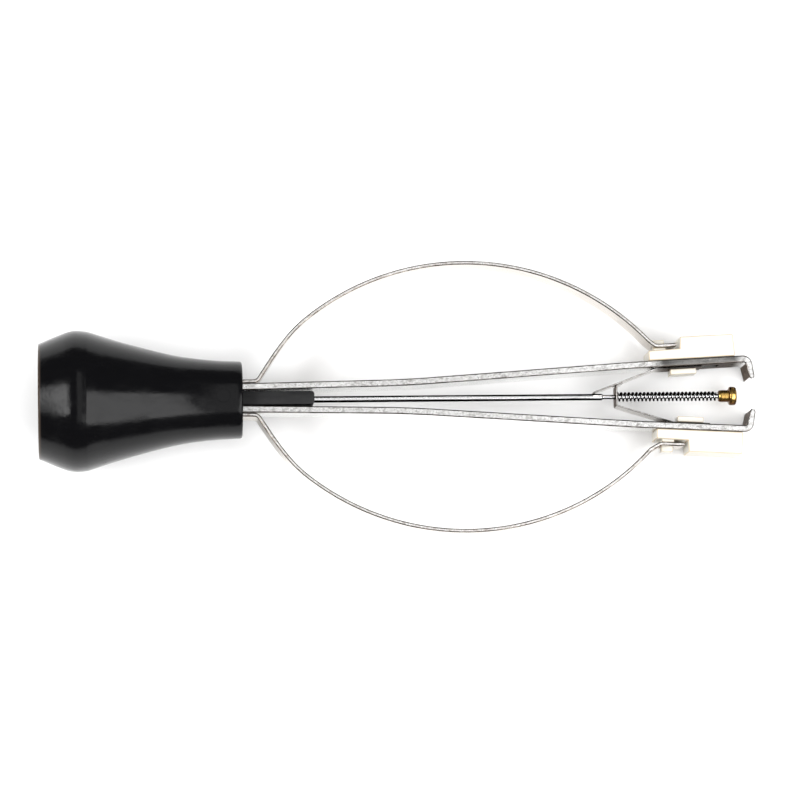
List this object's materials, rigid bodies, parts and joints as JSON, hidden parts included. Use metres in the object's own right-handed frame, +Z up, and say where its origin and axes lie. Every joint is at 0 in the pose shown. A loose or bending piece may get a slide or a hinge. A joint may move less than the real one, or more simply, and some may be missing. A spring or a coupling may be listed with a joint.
{
  "type": "hand lifting tool",
  "caption": "Squeeze tool that lifts clock and gauge hands: bell handle, two clawed arms, bowed leaf-spring grips, sliding nylon feet and a sprung plunger",
  "frame": {"origin": "centre of the flat butt of the handle", "axes": "+X along the tool from the butt to the claws, the bows spread in +Y and -Y, +Z up"},
  "size_m": [0.093, 0.0354, 0.0182],
  "materials": {
    "handle_plastic": "glossy",
    "pin_metal": "blackened",
    "core_plastic": "matte",
    "arm_steel": "plated, sheared edges",
    "bow_steel": "polished strip",
    "nylon": "satin ivory",
    "leaf_steel": "spring steel",
    "rod_steel": "ground",
    "spring_steel": "bright wire",
    "brass": "turned"
  },
  "bodies": {
    "handle": {"handle": "handle_plastic", "retaining_pin": "pin_metal", "guide_core": "core_plastic", "plunger_spring": "spring_steel"},
    "upper_arm": {"upper_arm": "arm_steel", "upper_bow": "bow_steel"},
    "lower_arm": {"lower_arm": "arm_steel", "lower_bow": "bow_steel"},
    "upper_foot": {"upper_foot": "nylon"},
    "lower_foot": {"lower_foot": "nylon"},
    "upper_leaf": {"upper_return_leaf": "leaf_steel"},
    "lower_leaf": {"lower_return_leaf": "leaf_steel"},
    "plunger": {"plunger_rod": "rod_steel", "plunger_cap": "brass"}
  },
  "joints": [
    {"name": "upper_arm_flex", "type": "hinge", "parent": "handle", "child": "upper_arm", "pos_m": [0.0264, 0.0014, 0], "axis": [0, 0, 1], "range_deg": [-1.4, 0], "stiffness_Nm_per_rad": 1},
    {"name": "lower_arm_flex", "type": "hinge", "parent": "handle", "child": "lower_arm", "pos_m": [0.0264, -0.0014, 0], "axis": [0, 0, 1], "range_deg": [0, 1.4]},
    {"name": "upper_foot_slide", "type": "slide", "parent": "upper_arm", "child": "upper_foot", "axis": [0.9988, 0.0497, 0], "range_m": [0, 0.003], "deforming": ["upper_bow"]},
    {"name": "lower_foot_slide", "type": "slide", "parent": "lower_arm", "child": "lower_foot", "axis": [0.9988, -0.0497, 0], "range_m": [0, 0.003], "deforming": ["lower_bow"]},
    {"name": "upper_leaf_flex", "type": "hinge", "parent": "upper_foot", "child": "upper_leaf", "pos_m": [0.0801, 0.00343, 0], "axis": [0, 0, 1], "range_deg": [-11.3, 0], "deforming": ["upper_return_leaf"]},
    {"name": "lower_leaf_flex", "type": "hinge", "parent": "lower_foot", "child": "lower_leaf", "pos_m": [0.0823, -0.00354, 0], "axis": [0, 0, 1], "range_deg": [0, 8.4], "deforming": ["lower_return_leaf"]},
    {"name": "plunger_slide", "type": "slide", "parent": "handle", "child": "plunger", "axis": [-1, 0, 0], "range_m": [0, 0.0014], "stiffness_N_per_m": 300, "springref_m": -0.0005, "deforming": ["plunger_spring"]}
  ],
  "couplings": [
    {"joint": "lower_arm_flex", "follows": "upper_arm_flex", "ratio": -1},
    {"joint": "upper_foot_slide", "follows": "upper_arm_flex", "m_per_rad": -0.12278},
    {"joint": "lower_foot_slide", "follows": "upper_arm_flex", "m_per_rad": -0.12278},
    {"joint": "upper_leaf_flex", "follows": "upper_arm_flex", "ratio": 8.07},
    {"joint": "lower_leaf_flex", "follows": "upper_arm_flex", "ratio": -5.98}
  ]
}
